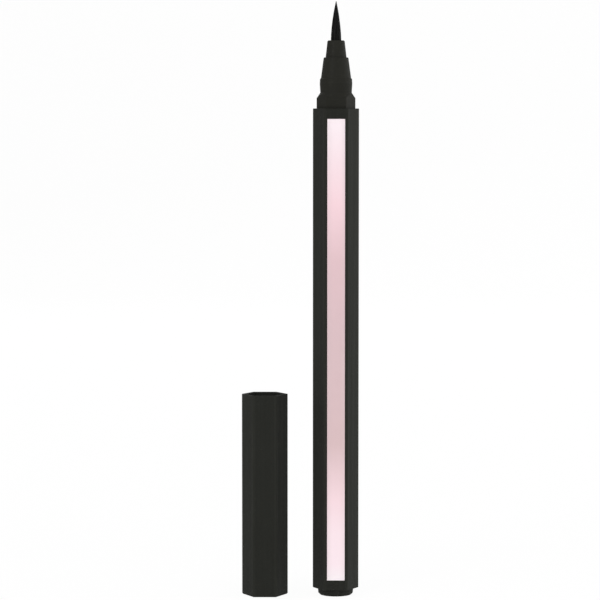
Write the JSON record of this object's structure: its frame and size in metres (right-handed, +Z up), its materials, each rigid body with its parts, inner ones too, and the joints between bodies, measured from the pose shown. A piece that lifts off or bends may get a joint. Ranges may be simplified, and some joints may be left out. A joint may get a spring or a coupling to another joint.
{
  "type": "liquid eyeliner pen",
  "caption": "Slim hexagonal liquid eyeliner pen standing on its tail plug, with a stepped nozzle, a pointed brush tip, a long film label and a matching hexagonal cap taken off.",
  "frame": {"origin": "centre of the pen's foot, the flat end of its tail plug", "axes": "+Z up the pen's axis towards the brush, -Y out of the flat that carries the label, +X to the right as the label is seen; the cap stands at -X"},
  "size_m": [0.0246, 0.0086, 0.1253],
  "materials": {
    "black_shell": "fine-textured black moulded plastic",
    "black_nozzle": "smooth satin black moulded plastic",
    "black_filament": "inked black nylon filaments",
    "pink_film": "satin pink film, paler towards both ends",
    "ball_steel": "polished steel ball",
    "white_comb": "white moulded plastic",
    "core_fibre": "bundled fibre rod, wet with ink",
    "natural_liner": "natural soft plastic"
  },
  "bodies": {
    "pen": {"barrel": "black_shell", "front_label": "pink_film", "tail_plug": "black_shell", "collector": "white_comb", "feed_core": "core_fibre", "nozzle": "black_nozzle", "tip_sleeve": "black_nozzle", "brush_tip": "black_filament"},
    "cap": {"cap_shell": "black_shell", "inner_cap": "natural_liner"},
    "ball": {"mixing_ball": "ball_steel"}
  },
  "joints": [
    {"name": "cap_lift", "type": "slide", "parent": "pen", "child": "cap", "axis": [0, 0, 1], "range_m": [0, 0.0224]},
    {"name": "ball_run", "type": "slide", "parent": "pen", "child": "ball", "axis": [0, 0, 1], "range_m": [0, 0.067]}
  ]
}
